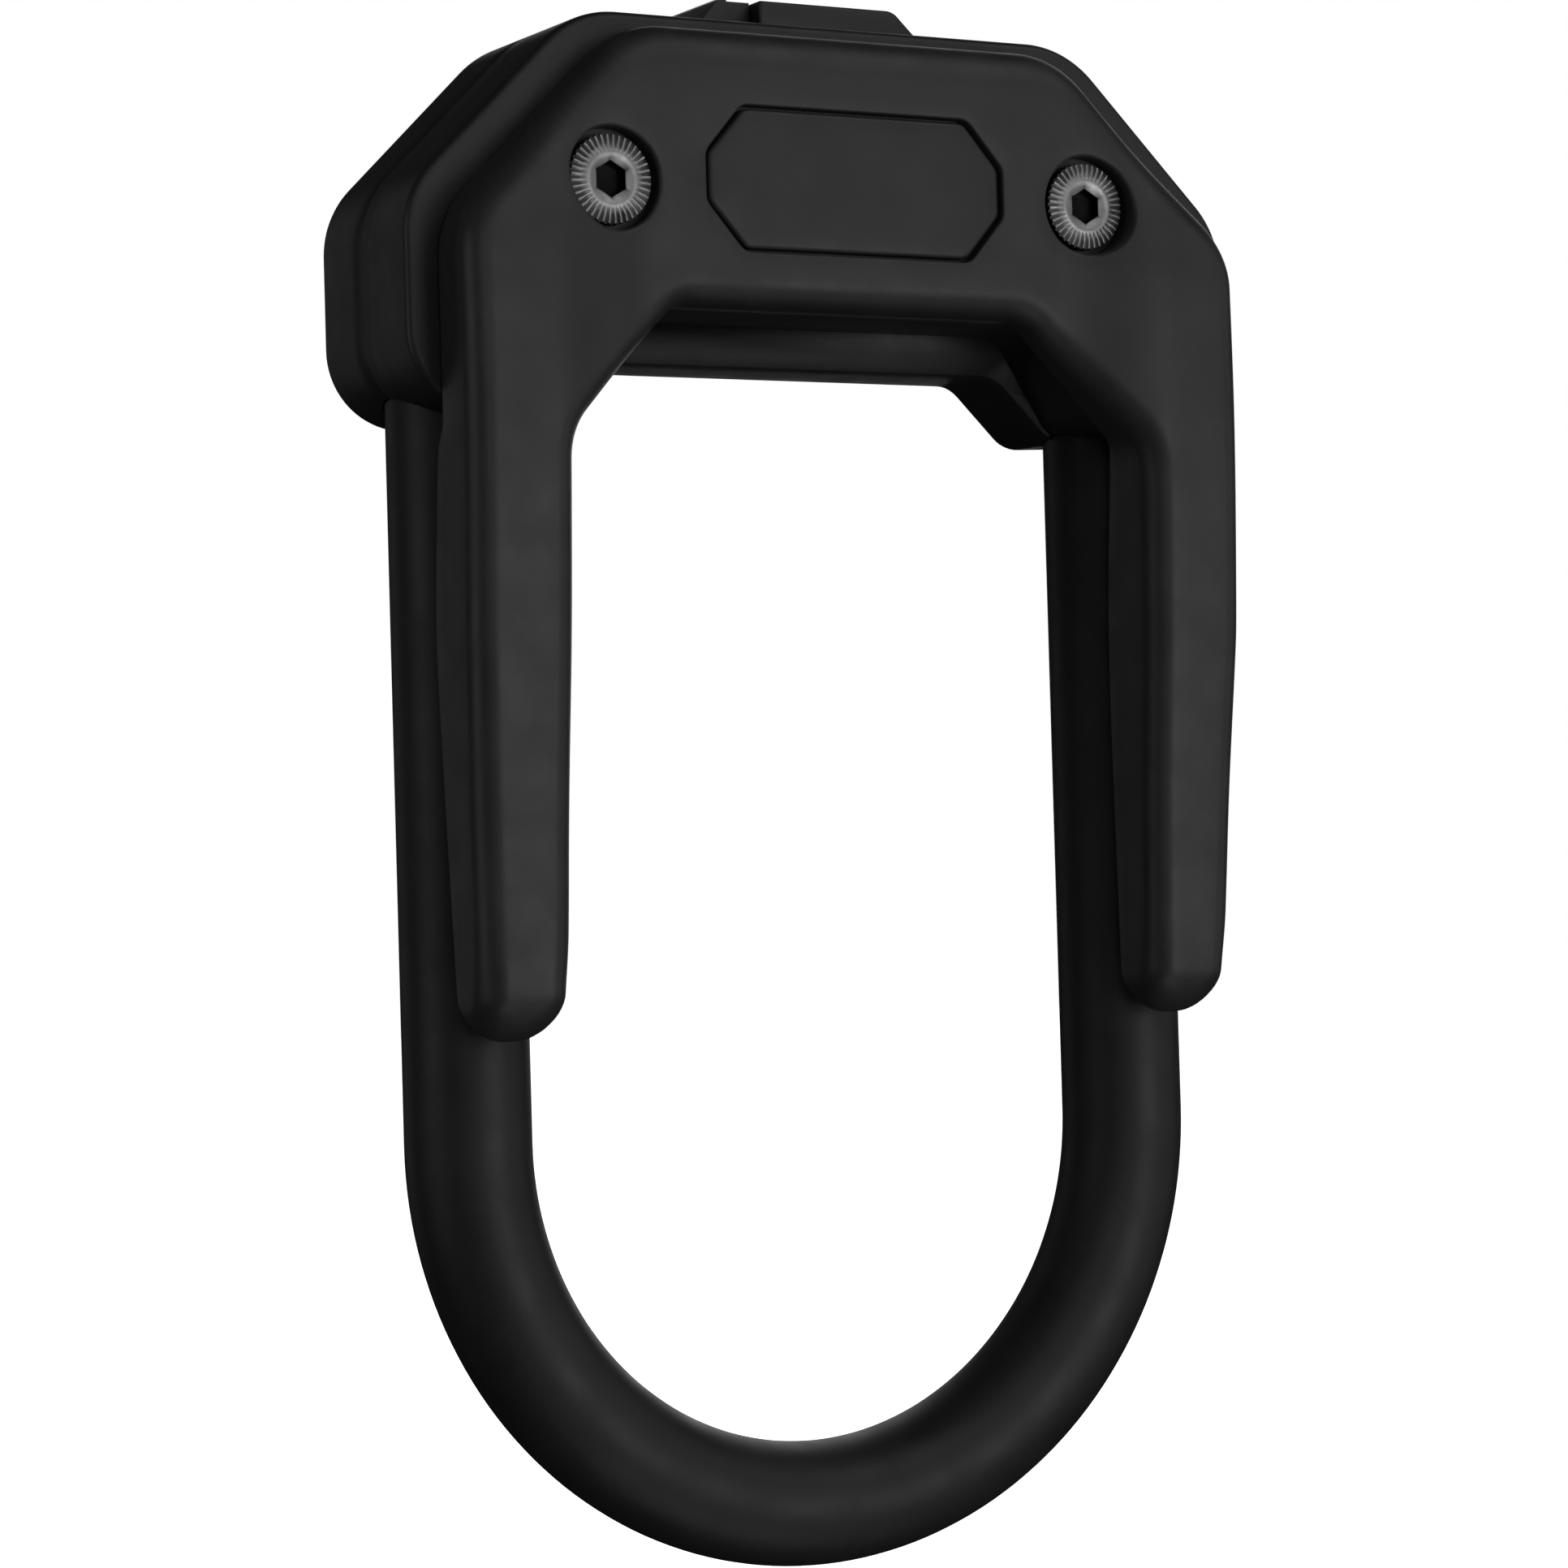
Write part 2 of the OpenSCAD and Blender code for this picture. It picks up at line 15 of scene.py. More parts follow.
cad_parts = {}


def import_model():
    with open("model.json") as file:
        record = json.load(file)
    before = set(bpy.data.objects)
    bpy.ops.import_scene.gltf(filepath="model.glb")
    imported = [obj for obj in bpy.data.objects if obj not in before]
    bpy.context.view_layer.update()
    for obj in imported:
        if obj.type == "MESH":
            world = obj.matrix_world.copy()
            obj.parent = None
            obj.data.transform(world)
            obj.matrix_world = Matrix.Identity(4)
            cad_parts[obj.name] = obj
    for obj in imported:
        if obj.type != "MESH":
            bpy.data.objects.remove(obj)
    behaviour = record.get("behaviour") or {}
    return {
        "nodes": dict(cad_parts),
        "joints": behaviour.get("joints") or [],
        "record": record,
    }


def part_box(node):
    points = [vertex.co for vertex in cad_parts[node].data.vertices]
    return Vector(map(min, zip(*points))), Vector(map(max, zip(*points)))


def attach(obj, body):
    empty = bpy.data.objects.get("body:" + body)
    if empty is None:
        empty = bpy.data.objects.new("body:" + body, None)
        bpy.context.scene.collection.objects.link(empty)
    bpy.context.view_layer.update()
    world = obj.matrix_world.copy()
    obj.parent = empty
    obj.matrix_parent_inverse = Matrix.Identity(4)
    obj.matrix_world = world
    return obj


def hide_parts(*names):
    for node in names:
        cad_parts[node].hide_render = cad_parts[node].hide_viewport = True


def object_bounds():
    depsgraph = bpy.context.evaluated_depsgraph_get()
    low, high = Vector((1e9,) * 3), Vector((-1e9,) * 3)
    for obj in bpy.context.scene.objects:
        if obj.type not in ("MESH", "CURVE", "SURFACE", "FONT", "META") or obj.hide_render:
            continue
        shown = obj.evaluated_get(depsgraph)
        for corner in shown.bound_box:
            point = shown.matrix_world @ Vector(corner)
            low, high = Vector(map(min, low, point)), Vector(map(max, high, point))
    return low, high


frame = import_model()
cad_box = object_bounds()

MM = 0.001
STEP = 0.8           # spacing of the points along an outline
SHARP = math.radians(38)
JOIN = 2e-6          # metres between vertices that are one
CLEAR = 0.05         # kept clear of the CAD box, so that a piece stays inside it


def box_mm(*nodes):
    """Lowest and highest corner of some CAD nodes together, in millimetres."""
    boxes = [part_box(n) for n in nodes]
    lo = Vector([min(b[0][i] for b in boxes) for i in range(3)]) / MM
    hi = Vector([max(b[1][i] for b in boxes) for i in range(3)]) / MM
    return lo, hi


# ---------- sizes, read from the frame ----------

body_lo, body_hi = box_mm("front_shell", "rear_shell")
rear_lo, rear_hi = box_mm("rear_shell")
clip_lo, clip_hi = box_mm("clip_frame")
badge_lo, badge_hi = box_mm("badge_insert")
screw_lo, screw_hi = box_mm("clip_screw_right")
sleeve_lo, sleeve_hi = box_mm("shackle_sleeve")
bar_lo, bar_hi = box_mm("shackle_bar")
stop_lo, stop_hi = box_mm("key_bezel")
cover_lo, cover_hi = box_mm("dust_cover")

SLEEVE_R = (sleeve_hi.y - sleeve_lo.y) / 2
BAR_R = (bar_hi.y - bar_lo.y) / 2
LEG_X = sleeve_hi.x - SLEEVE_R
BEND_Z = sleeve_lo.z + SLEEVE_R + LEG_X

# crossbar
BODY_SLOPE = 25.0
BOSS_W = 25.0
BOSS_RISE = 0.8
REAR_STEP = 5.5
STREET_ROUND = 2.4   # radius along the outer edges of each shell
CLIP_ROUND = 1.1
SEAM = 0.3           # half width and depth of the line between the shells

# clip
PLATE_FRONT = badge_lo.y - 0.15
PRONG_W = 15.1
PLATE_H = 36.4
CLIP_SLOPE = 25.7
EDGE = 3.5           # radius along the front edges of the clip
BACK_EDGE = 0.9      # radius along its back edges
SCREW_SEAT = 2.6     # depth of the round recesses for the clip screws
BADGE_LINE = 0.45    # width of the gap round the badge
plate_lo = clip_hi.z - PLATE_H
prong_in = clip_hi.x - PRONG_W
badge_z = (badge_lo.z + badge_hi.z) / 2
screw_x = (screw_lo.x + screw_hi.x) / 2
screw_z = (screw_lo.z + screw_hi.z) / 2
screw_r = (screw_hi.x - screw_lo.x) / 2


# ---------- curves ----------

def smooth(t, a, b):
    """0 at a and 1 at b, with a soft start and end."""
    t = min(1.0, max(0.0, (t - a) / (b - a)))
    return t * t * (3 - 2 * t)


def through(knots, t):
    """Smooth curve through (t, value) knots, which are in rising order of t."""
    if t <= knots[0][0]:
        return knots[0][1]
    if t >= knots[-1][0]:
        return knots[-1][1]
    i = max(k for k in range(len(knots) - 1) if knots[k][0] <= t)
    (t0, v0), (t1, v1) = knots[i], knots[i + 1]

    def slope(k):
        if k == 0 or k == len(knots) - 1:
            return 0.0
        before = (knots[k][1] - knots[k - 1][1]) / (knots[k][0] - knots[k - 1][0])
        after = (knots[k + 1][1] - knots[k][1]) / (knots[k + 1][0] - knots[k][0])
        return 0.0 if before * after <= 0 else 2 * before * after / (before + after)

    w, u = t1 - t0, (t - t0) / (t1 - t0)
    return ((1 + 2 * u) * (1 - u) ** 2 * v0 + u * (1 - u) ** 2 * w * slope(i)
            + u * u * (3 - 2 * u) * v1 - u * u * (1 - u) * w * slope(i + 1))


def even(points, step):
    """The closed line through points, cut into equal steps."""
    count = len(points)
    lengths = [(points[(i + 1) % count] - points[i]).length for i in range(count)]
    total = sum(lengths)
    wanted = max(12, round(total / step))
    out, i, done = [], 0, 0.0
    for k in range(wanted):
        at = total * k / wanted
        while done + lengths[i] < at:
            done += lengths[i]
            i += 1
        part = (at - done) / lengths[i] if lengths[i] else 0
        out.append(points[i].lerp(points[(i + 1) % count], part))
    return out


def rounded(corners, step=STEP):
    """Outline through corners (x, z, radius), anticlockwise, with each corner rounded."""
    out = []
    for i, (x, z, radius) in enumerate(corners):
        p = Vector((x, z))
        a = Vector(corners[i - 1][:2]) - p
        b = Vector(corners[(i + 1) % len(corners)][:2]) - p
        half = a.angle(b) / 2
        reach = min(radius / math.tan(half), 0.48 * a.length, 0.48 * b.length)
        radius = reach * math.tan(half)
        a.normalize()
        b.normalize()
        centre = p + (a + b).normalized() * (radius / math.sin(half))
        spoke = p + a * reach - centre
        turn = math.pi - 2 * half
        if spoke.cross(p + b * reach - centre) < 0:
            turn = -turn
        pieces = max(2, math.ceil(abs(turn) * radius / (step / 2)))
        for k in range(pieces + 1):
            out.append(centre + Matrix.Rotation(turn * k / pieces, 2) @ spoke)
    return even(out, step)


def mirrored(half):
    """The corners of the +X half, from the bottom up, with their mirror images."""
    return half + [(-x, z, r) for x, z, r in reversed(half)]


def circle(x, z, radius, count):
    return [Vector((x + radius * math.cos(2 * math.pi * k / count),
                    z + radius * math.sin(2 * math.pi * k / count))) for k in range(count)]


def outwards(outline):
    """Outward unit normal at each point of an anticlockwise outline."""
    out = []
    for i in range(len(outline)):
        along = (outline[(i + 1) % len(outline)] - outline[i - 1]).normalized()
        out.append(Vector((along.y, -along.x)))
    return out


def inside(p, outline):
    hit = False
    for i, b in enumerate(outline):
        a = outline[i - 1]
        if (a.y > p.y) != (b.y > p.y) and p.x < a.x + (p.y - a.y) * (b.x - a.x) / (b.y - a.y):
            hit = not hit
    return hit


# ---------- meshes ----------

class Moulding:
    """A solid built from rings that follow one outline in x-z, with a cap at each end."""

    def __init__(self, outline):
        self.bm = bmesh.new()
        self.outline = outline
        self.normals = outwards(outline)
        self.rings = []

    def vert(self, p, y):
        return self.bm.verts.new((p.x * MM, y * MM, p.y * MM))

    def bridge(self, a, b):
        for i in range(len(a)):
            self.bm.faces.new((a[i - 1], a[i], b[i], b[i - 1]))

    def ring(self, inset, y):
        """inset(point, normal) in from the outline, at height y(point)."""
        flat = [p - n * inset(p, n) for p, n in zip(self.outline, self.normals)]
        ring = [self.vert(q, y(q)) for q in flat]
        if self.rings:
            self.bridge(self.rings[-1][1], ring)
        self.rings.append((flat, ring))

    def edge(self, y, reach, drop, side, steps=8, opening=True):
        """Rounded edge of a face at y(point). side is 1 when the solid lies at higher y."""
        order = range(steps + 1) if opening else range(steps, -1, -1)
        for k in order:
            a = math.pi / 2 * (1 - k / steps)
            across = 1 - math.cos(a) if k else 1.0
            down = 1 - math.sin(a)
            self.ring(lambda p, n, c=across: reach(p, n) * c,
                      lambda q, d=down: y(q) + side * drop(q) * d)

    def cap(self, ring, y, grid, holes=()):
        """Fills a ring with an even net of points at height y(point), round the holes."""
        flat, verts = ring
        points, owners, lines = list(flat), list(verts), []
        lines += [(i, (i + 1) % len(flat)) for i in range(len(flat))]
        for hole_flat, hole_verts in holes:
            start = len(points)
            points += hole_flat
            owners += hole_verts
            lines += [(start + i, start + (i + 1) % len(hole_flat)) for i in range(len(hole_flat))]
        edge_points = list(points)
        xs, zs = [p.x for p in flat], [p.y for p in flat]
        rows = int((max(zs) - min(zs)) / (grid * 0.866))
        columns = int((max(xs) - min(xs)) / grid) + 1
        near = {}
        for p in edge_points:
            near.setdefault((int(p.x // grid), int(p.y // grid)), []).append(p)
        for r in range(1, rows + 1):
            for c in range(columns + 1):
                p = Vector((min(xs) + (c + 0.5 * (r % 2)) * grid, min(zs) + r * grid * 0.866))
                cell = (int(p.x // grid), int(p.y // grid))
                around = [q for i in (-1, 0, 1) for j in (-1, 0, 1)
                          for q in near.get((cell[0] + i, cell[1] + j), ())]
                if any((q - p).length < grid * 0.55 for q in around):
                    continue
                if not inside(p, flat) or any(inside(p, h) for h, _ in holes):
                    continue
                points.append(p)
                owners.append(self.vert(p, y(p)))
        out, _, faces, origin, _, _ = delaunay_2d_cdt(points, lines, [], 1, 1e-5)
        for f in faces:
            middle = sum((out[i] for i in f), Vector((0, 0))) / len(f)
            if not inside(middle, flat) or any(inside(middle, h) for h, _ in holes):
                continue
            corners = [owners[origin[i][0]] for i in f]
            if len(set(corners)) == len(corners):
                self.bm.faces.new(corners)

    def pocket(self, outline, y, lip, floor, steps=4):
        """Opening in a face at y(point), with a soft lip, straight walls and a flat floor."""
        normals = outwards(outline)
        rings = []
        for k in range(steps + 1):
            a = math.pi / 2 * k / steps
            flat = [p + n * lip * (1 - math.sin(a)) for p, n in zip(outline, normals)]
            rings.append((flat, [self.vert(q, y(q) + lip * (1 - math.cos(a))) for q in flat]))
        rings.append((outline, [self.vert(q, floor) for q in outline]))
        for a, b in zip(rings, rings[1:]):
            self.bridge(a[1], b[1])
        self.bm.faces.new(rings[-1][1])
        return rings[0]

    def finish(self, name, material):
        return finish_mesh(self.bm, name, material)


def finish_mesh(bm, name, material, sharp=SHARP):
    """Object from a bmesh, with outward faces and smooth shading up to the sharp angle."""
    bmesh.ops.recalc_face_normals(bm, faces=bm.faces)
    mesh = bpy.data.meshes.new(name)
    bm.to_mesh(mesh)
    bm.free()
    mesh.shade_smooth()
    mesh.set_sharp_from_angle(angle=sharp)
    mesh.materials.append(material)
    piece = bpy.data.objects.new(name, mesh)
    bpy.context.scene.collection.objects.link(piece)
    return piece


def lathe(bm, profile, count, centre, shift):
    """Turns (radius, y) pairs about the line along Y through centre (x, z), moved by shift."""
    rings = []
    for row, (radius, y) in enumerate(profile):
        ring = []
        for k in range(count):
            a = 2 * math.pi * k / count
            r, d = shift(row, a, radius)
            ring.append(bm.verts.new(((centre[0] + r * math.cos(a)) * MM, (y + d) * MM,
                                      (centre[1] + r * math.sin(a)) * MM)))
        rings.append(ring)
    for a, b in zip(rings, rings[1:]):
        for i in range(count):
            bm.faces.new((a[i - 1], a[i], b[i], b[i - 1]))
    bm.faces.new(rings[0])
    bm.faces.new(rings[-1])


def cad_copy(node):
    """bmesh of a CAD node with its split vertices joined."""
    bm = bmesh.new()
    bm.from_mesh(frame["nodes"][node].data)
    bmesh.ops.remove_doubles(bm, verts=bm.verts, dist=JOIN)
    return bm


def keep_common(piece, node):
    """Cuts a piece down to what it shares with a CAD node, so it gets that node's cavities."""
    bm = cad_copy(node)
    mesh = bpy.data.meshes.new("cutter")
    bm.to_mesh(mesh)
    bm.free()
    cutter = bpy.data.objects.new("cutter", mesh)
    bpy.context.scene.collection.objects.link(cutter)
    cut = piece.modifiers.new("cut", "BOOLEAN")
    cut.operation = "INTERSECT"
    cut.solver = "EXACT"
    cut.object = cutter
    bpy.context.view_layer.update()
    graph = bpy.context.evaluated_depsgraph_get()
    result = bpy.data.meshes.new_from_object(piece.evaluated_get(graph))
    piece.modifiers.clear()
    material = piece.data.materials[0]
    piece.data = result
    result.materials.clear()
    result.materials.append(material)
    result.shade_smooth()
    result.set_sharp_from_angle(angle=SHARP)
    bpy.data.objects.remove(cutter)


# ---------- materials ----------

class Finish:
    """A Principled material whose texture follows the object's own coordinates."""

    def __init__(self, name, **constants):
        self.material = bpy.data.materials.new(name)
        self.material.use_nodes = True
        self.tree = self.material.node_tree
        self.shader = self.tree.nodes["Principled BSDF"]
        self.place = self.tree.nodes.new("ShaderNodeTexCoord").outputs["Object"]
        for socket, value in constants.items():
            self.shader.inputs[socket.replace("_", " ")].default_value = value

    def link(self, a, b):
        self.tree.links.new(a, b)

    def noise(self, size, detail=2.0, stretch=None):
        """Noise with features of about that size, in millimetres."""
        node = self.tree.nodes.new("ShaderNodeTexNoise")
        node.inputs["Scale"].default_value = 1 / (size * MM)
        node.inputs["Detail"].default_value = detail
        if stretch:
            mapping = self.tree.nodes.new("ShaderNodeMapping")
            mapping.inputs["Scale"].default_value = stretch
            self.link(self.place, mapping.inputs["Vector"])
            self.link(mapping.outputs["Vector"], node.inputs["Vector"])
        else:
            self.link(self.place, node.inputs["Vector"])
        return node.outputs["Fac"]

    def between(self, fac, low, high):
        node = self.tree.nodes.new("ShaderNodeMapRange")
        node.inputs["From Min"].default_value = 0.3
        node.inputs["From Max"].default_value = 0.7
        node.inputs["To Min"].default_value = low
        node.inputs["To Max"].default_value = high
        self.link(fac, node.inputs["Value"])
        return node.outputs["Result"]

    def tone(self, fac, dark, light):
        node = self.tree.nodes.new("ShaderNodeValToRGB")
        node.color_ramp.elements[0].position = 0.3
        node.color_ramp.elements[0].color = (*dark, 1)
        node.color_ramp.elements[1].position = 0.7
        node.color_ramp.elements[1].color = (*light, 1)
        self.link(fac, node.inputs["Fac"])
        self.link(node.outputs["Color"], self.shader.inputs["Base Color"])

    def gloss(self, fac, low, high):
        self.link(self.between(fac, low, high), self.shader.inputs["Roughness"])

    def relief(self, *layers):
        """Bumps from (noise, depth in millimetres) layers, laid one over the other."""
        normal = None
        for fac, depth in layers:
            node = self.tree.nodes.new("ShaderNodeBump")
            node.inputs["Strength"].default_value = 1.0
            node.inputs["Distance"].default_value = depth * MM
            self.link(fac, node.inputs["Height"])
            if normal:
                self.link(normal, node.inputs["Normal"])
            normal = node.outputs["Normal"]
        self.link(normal, self.shader.inputs["Normal"])


def grey(value, warmth=0.0):
    return (value * (1 + warmth), value, value * (1 - warmth))


def moulded(name, tone, gloss, grain=0.45, depth=0.006, specular=0.4):
    """Moulded plastic: a fine grained skin with slight changes of tone and gloss."""
    f = Finish(name, Specular_IOR_Level=specular)
    f.tone(f.noise(9, 4), grey(tone * 0.82), grey(tone * 1.18))
    f.gloss(f.noise(6, 5), gloss - 0.045, gloss + 0.045)
    f.relief((f.noise(grain, 2), depth), (f.noise(14, 1), depth * 3))
    return f.material


def machined(name, colour, gloss, stretch=(1, 1, 1), scratch=0.25, depth=0.003):
    """Bare metal with fine tool marks along one direction."""
    f = Finish(name, Metallic=1.0)
    f.tone(f.noise(2.5, 5), tuple(c * 0.8 for c in colour), tuple(min(1, c * 1.12) for c in colour))
    f.gloss(f.noise(1.2, 4), gloss - 0.08, gloss + 0.08)
    f.relief((f.noise(scratch, 3, stretch), depth))
    return f.material


def paint_socket_shade(material):
    """Painted shade: darkens a screw's steel behind the front of its head, where the hexagon socket
    lies in shade.
    """
    tree = material.node_tree
    shader = tree.nodes["Principled BSDF"]
    tone = shader.inputs["Base Color"].links[0].from_socket
    place = tree.nodes.new("ShaderNodeTexCoord").outputs["Object"]
    split = tree.nodes.new("ShaderNodeSeparateXYZ")
    depth = tree.nodes.new("ShaderNodeMapRange")
    depth.inputs["From Min"].default_value = (screw_lo.y + 0.3) * MM
    depth.inputs["From Max"].default_value = (screw_lo.y + 0.8) * MM
    depth.inputs["To Min"].default_value = 1.0
    depth.inputs["To Max"].default_value = 0.03
    shade = tree.nodes.new("ShaderNodeVectorMath")
    shade.operation = "SCALE"
    tree.links.new(place, split.inputs["Vector"])
    tree.links.new(split.outputs["Y"], depth.inputs["Value"])
    tree.links.new(tone, shade.inputs[0])
    tree.links.new(depth.outputs["Result"], shade.inputs["Scale"])
    tree.links.new(shade.outputs["Vector"], shader.inputs["Base Color"])


SHELL = moulded("shell_plastic", 0.014, 0.47)
CLIP = moulded("clip_plastic", 0.022, 0.46)
BADGE = moulded("badge_plastic", 0.017, 0.44, grain=0.3, depth=0.004)
COVER = moulded("cover_plastic", 0.014, 0.42)
SLEEVE = moulded("vinyl_sleeve", 0.013, 0.50, grain=0.6, depth=0.008, specular=0.35)
RUBBER = moulded("seal_rubber", 0.010, 0.65, grain=0.35, depth=0.01, specular=0.3)
SCREW = machined("screw_steel", (0.30, 0.30, 0.305), 0.42, scratch=0.2)
# painted shade: the screw steel is darkened behind the front of each head, in the socket
paint_socket_shade(SCREW)
ZINC = machined("zinc_steel", (0.55, 0.55, 0.56), 0.36, stretch=(1, 0.1, 1))
CORE = machined("core_steel", (0.42, 0.42, 0.43), 0.42, stretch=(0.08, 1, 1))
BOLT = machined("bolt_steel", (0.52, 0.52, 0.54), 0.30, stretch=(1, 0.1, 0.1))
BAR = machined("shackle_steel", (0.38, 0.38, 0.39), 0.38, stretch=(1, 1, 0.08))
BRASS = machined("cylinder_brass", (0.66, 0.49, 0.22), 0.34, stretch=(1, 1, 0.1))
DISC = machined("disc_brass", (0.70, 0.54, 0.27), 0.38)

BY_SLOT = {
    "shell": SHELL, "clip": CLIP, "badge": BADGE, "screw_steel": SCREW, "zinc_steel": ZINC,
    "core_steel": CORE, "bolt_steel": BOLT, "shackle_steel": BAR, "cylinder_brass": BRASS,
    "disc_brass": DISC, "cover_plastic": COVER, "seal_rubber": RUBBER, "sleeve": SLEEVE,
}
for part in frame["record"]["subparts"]:
    mesh = frame["nodes"][part["node"]].data
    mesh.materials.clear()
    mesh.materials.append(BY_SLOT[part["material_slot"]])


def place(piece, body, slot, *nodes):
    """Puts a piece on its body in place of its CAD nodes."""
    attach(piece, body)
    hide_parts(*nodes)


# ---------- crossbar shells ----------

def bar_outline(low):
    """Outline of the crossbar with its bosses; low is the height of the middle underside."""
    end, top, boss = body_hi.x - CLEAR, body_hi.z - CLEAR, body_lo.z + CLEAR
    boss_in = body_hi.x - BOSS_W
    low += 0.03
    return rounded(mirrored([
        (boss_in - 4.8, low, 5), (boss_in + 4.2, boss, 5), (end, boss + BOSS_RISE, 12.5),
        (end, body_hi.z - BODY_SLOPE, 13), (body_hi.x - BODY_SLOPE, top, 15),
    ]))


def shell(name, node, side, low):
    """Half of the crossbar, from the seam out to the face at side * half its thickness."""
    face = body_hi.y if side > 0 else body_lo.y
    width = STREET_ROUND if side > 0 else CLIP_ROUND
    m = Moulding(bar_outline(low))
    outer = lambda q: face - side * 0.03
    m.edge(outer, lambda p, n: width, lambda q: width, -side, steps=8)
    for part in (0.35, 0.7):
        m.ring(lambda p, n: 0.0, lambda q, t=part: side * (abs(face) - width) * (1 - t))
    m.ring(lambda p, n: 0.0, lambda q: side * SEAM)
    m.ring(lambda p, n: SEAM * 0.7, lambda q: side * SEAM * 0.3)
    m.ring(lambda p, n: SEAM, lambda q: -side * 1.0)
    m.cap(m.rings[0], outer, 3.0)
    m.cap(m.rings[-1], lambda q: -side * 1.0, 4.0)
    piece = m.finish(name, SHELL)
    keep_common(piece, node)
    place(piece, "crossbar", "shell", node)


shell("street_side_shell", "front_shell", 1, 0.0)
shell("clip_side_shell", "rear_shell", -1, REAR_STEP)


# ---------- belt clip ----------

def clip_outline():
    x1, top, tip = clip_hi.x, clip_hi.z, clip_lo.z
    corner = PRONG_W * 1.133
    return rounded(mirrored([
        (prong_in - corner, plate_lo, 5), (prong_in, plate_lo - corner, 9),
        (prong_in + 0.8, tip, 6.0), (x1 - 1.8, tip, 5.6), (x1, plate_lo - 43, 60),
        (x1, top - CLIP_SLOPE, 14), (x1 - CLIP_SLOPE, top, 14),
    ]))


# how far the prongs stand proud of the plate at each height, and where their backs lie
swell = PLATE_FRONT - clip_lo.y
PROUD = [(clip_lo.z, -2.6), (clip_lo.z + 6, -0.9), (plate_lo - 64, 0.7), (plate_lo - 38, 2.7),
         (plate_lo - 10, swell - 0.05), (plate_lo + 5, swell - 0.25), (plate_lo + 26, 0.0)]
BACK = [(clip_lo.z, -11.6), (clip_lo.z + 6, -10.2), (plate_lo - 53, -10.0),
        (body_lo.z - 5, -12.2), (body_lo.z - 1, body_lo.y + 0.05)]


def clip_front(q):
    return PLATE_FRONT - through(PROUD, q.y) * smooth(abs(q.x), prong_in - 13, prong_in + 4)


def clip_back(q):
    return through(BACK, q.y)


def clip_reach(p, n):
    """Width of the rounded front edge: broad along the top and at the tips of the prongs."""
    tip = 1 - smooth(p.y, clip_lo.z + 4, clip_lo.z + 14)
    return EDGE + 2.0 * max(0, n.y) ** 2 + 1.8 * tip * max(0, -n.y) ** 2


def clip_drop(q):
    return EDGE + 1.2 * (1 - smooth(q.y, clip_lo.z + 4, clip_lo.z + 14))


def octagon(length, height, corner, step=0.4):
    """Badge outline with cut corners."""
    cut_x, cut_z = length * 0.121, height * 0.33
    x, z = length / 2, height / 2
    half = [(x - cut_x, -z, corner), (x, cut_z - z, corner),
            (x, z - cut_z, corner), (x - cut_x, z, corner)]
    return [p + Vector((0, badge_z)) for p in rounded(mirrored(half), step)]


def belt_clip():
    m = Moulding(clip_outline())
    m.edge(clip_front, clip_reach, clip_drop, 1, steps=10)
    for part in (0.25, 0.5, 0.75):
        m.ring(lambda p, n: 0.0, lambda q, t=part: (clip_front(q) + clip_drop(q)) * (1 - t)
               + (clip_back(q) - BACK_EDGE) * t)
    m.edge(clip_back, lambda p, n: BACK_EDGE, lambda q: BACK_EDGE, -1, steps=4, opening=False)
    length = badge_hi.x - badge_lo.x + 2 * BADGE_LINE
    height = badge_hi.z - badge_lo.z + 2 * BADGE_LINE
    holes = [m.pocket(octagon(length, height, 2.2), clip_front, 0.3, badge_hi.y)]
    for side in (-1, 1):
        rim = circle(side * screw_x, screw_z, screw_r + 0.85, 96)
        holes.append(m.pocket(rim, clip_front, 0.55, PLATE_FRONT + SCREW_SEAT))
    m.cap(m.rings[0], clip_front, 1.8, holes)
    m.cap(m.rings[-1], clip_back, 2.5)
    place(m.finish("belt_clip", CLIP), "crossbar", "clip", "clip_frame")


belt_clip()


def badge():
    length, height = badge_hi.x - badge_lo.x, badge_hi.z - badge_lo.z
    m = Moulding(octagon(length, height, 2.0))
    front = lambda q: badge_lo.y + 0.25 * ((q.x / length * 2) ** 2) ** 2
    back = lambda q: badge_hi.y - 0.02
    m.edge(front, lambda p, n: 0.7, lambda q: 0.55, 1, steps=5)
    m.edge(back, lambda p, n: 0.15, lambda q: 0.15, -1, steps=1, opening=False)
    m.cap(m.rings[0], front, 1.6)
    m.cap(m.rings[-1], back, 4.0)
    place(m.finish("badge_plate", BADGE), "crossbar", "badge", "badge_insert")


badge()


# ---------- clip screws ----------

TEETH = 40
HEX_R = 2.45


def hex_radius(a):
    return HEX_R * math.cos(math.pi / 6) / math.cos((a + math.pi / 6) % (math.pi / 3) - math.pi / 6)


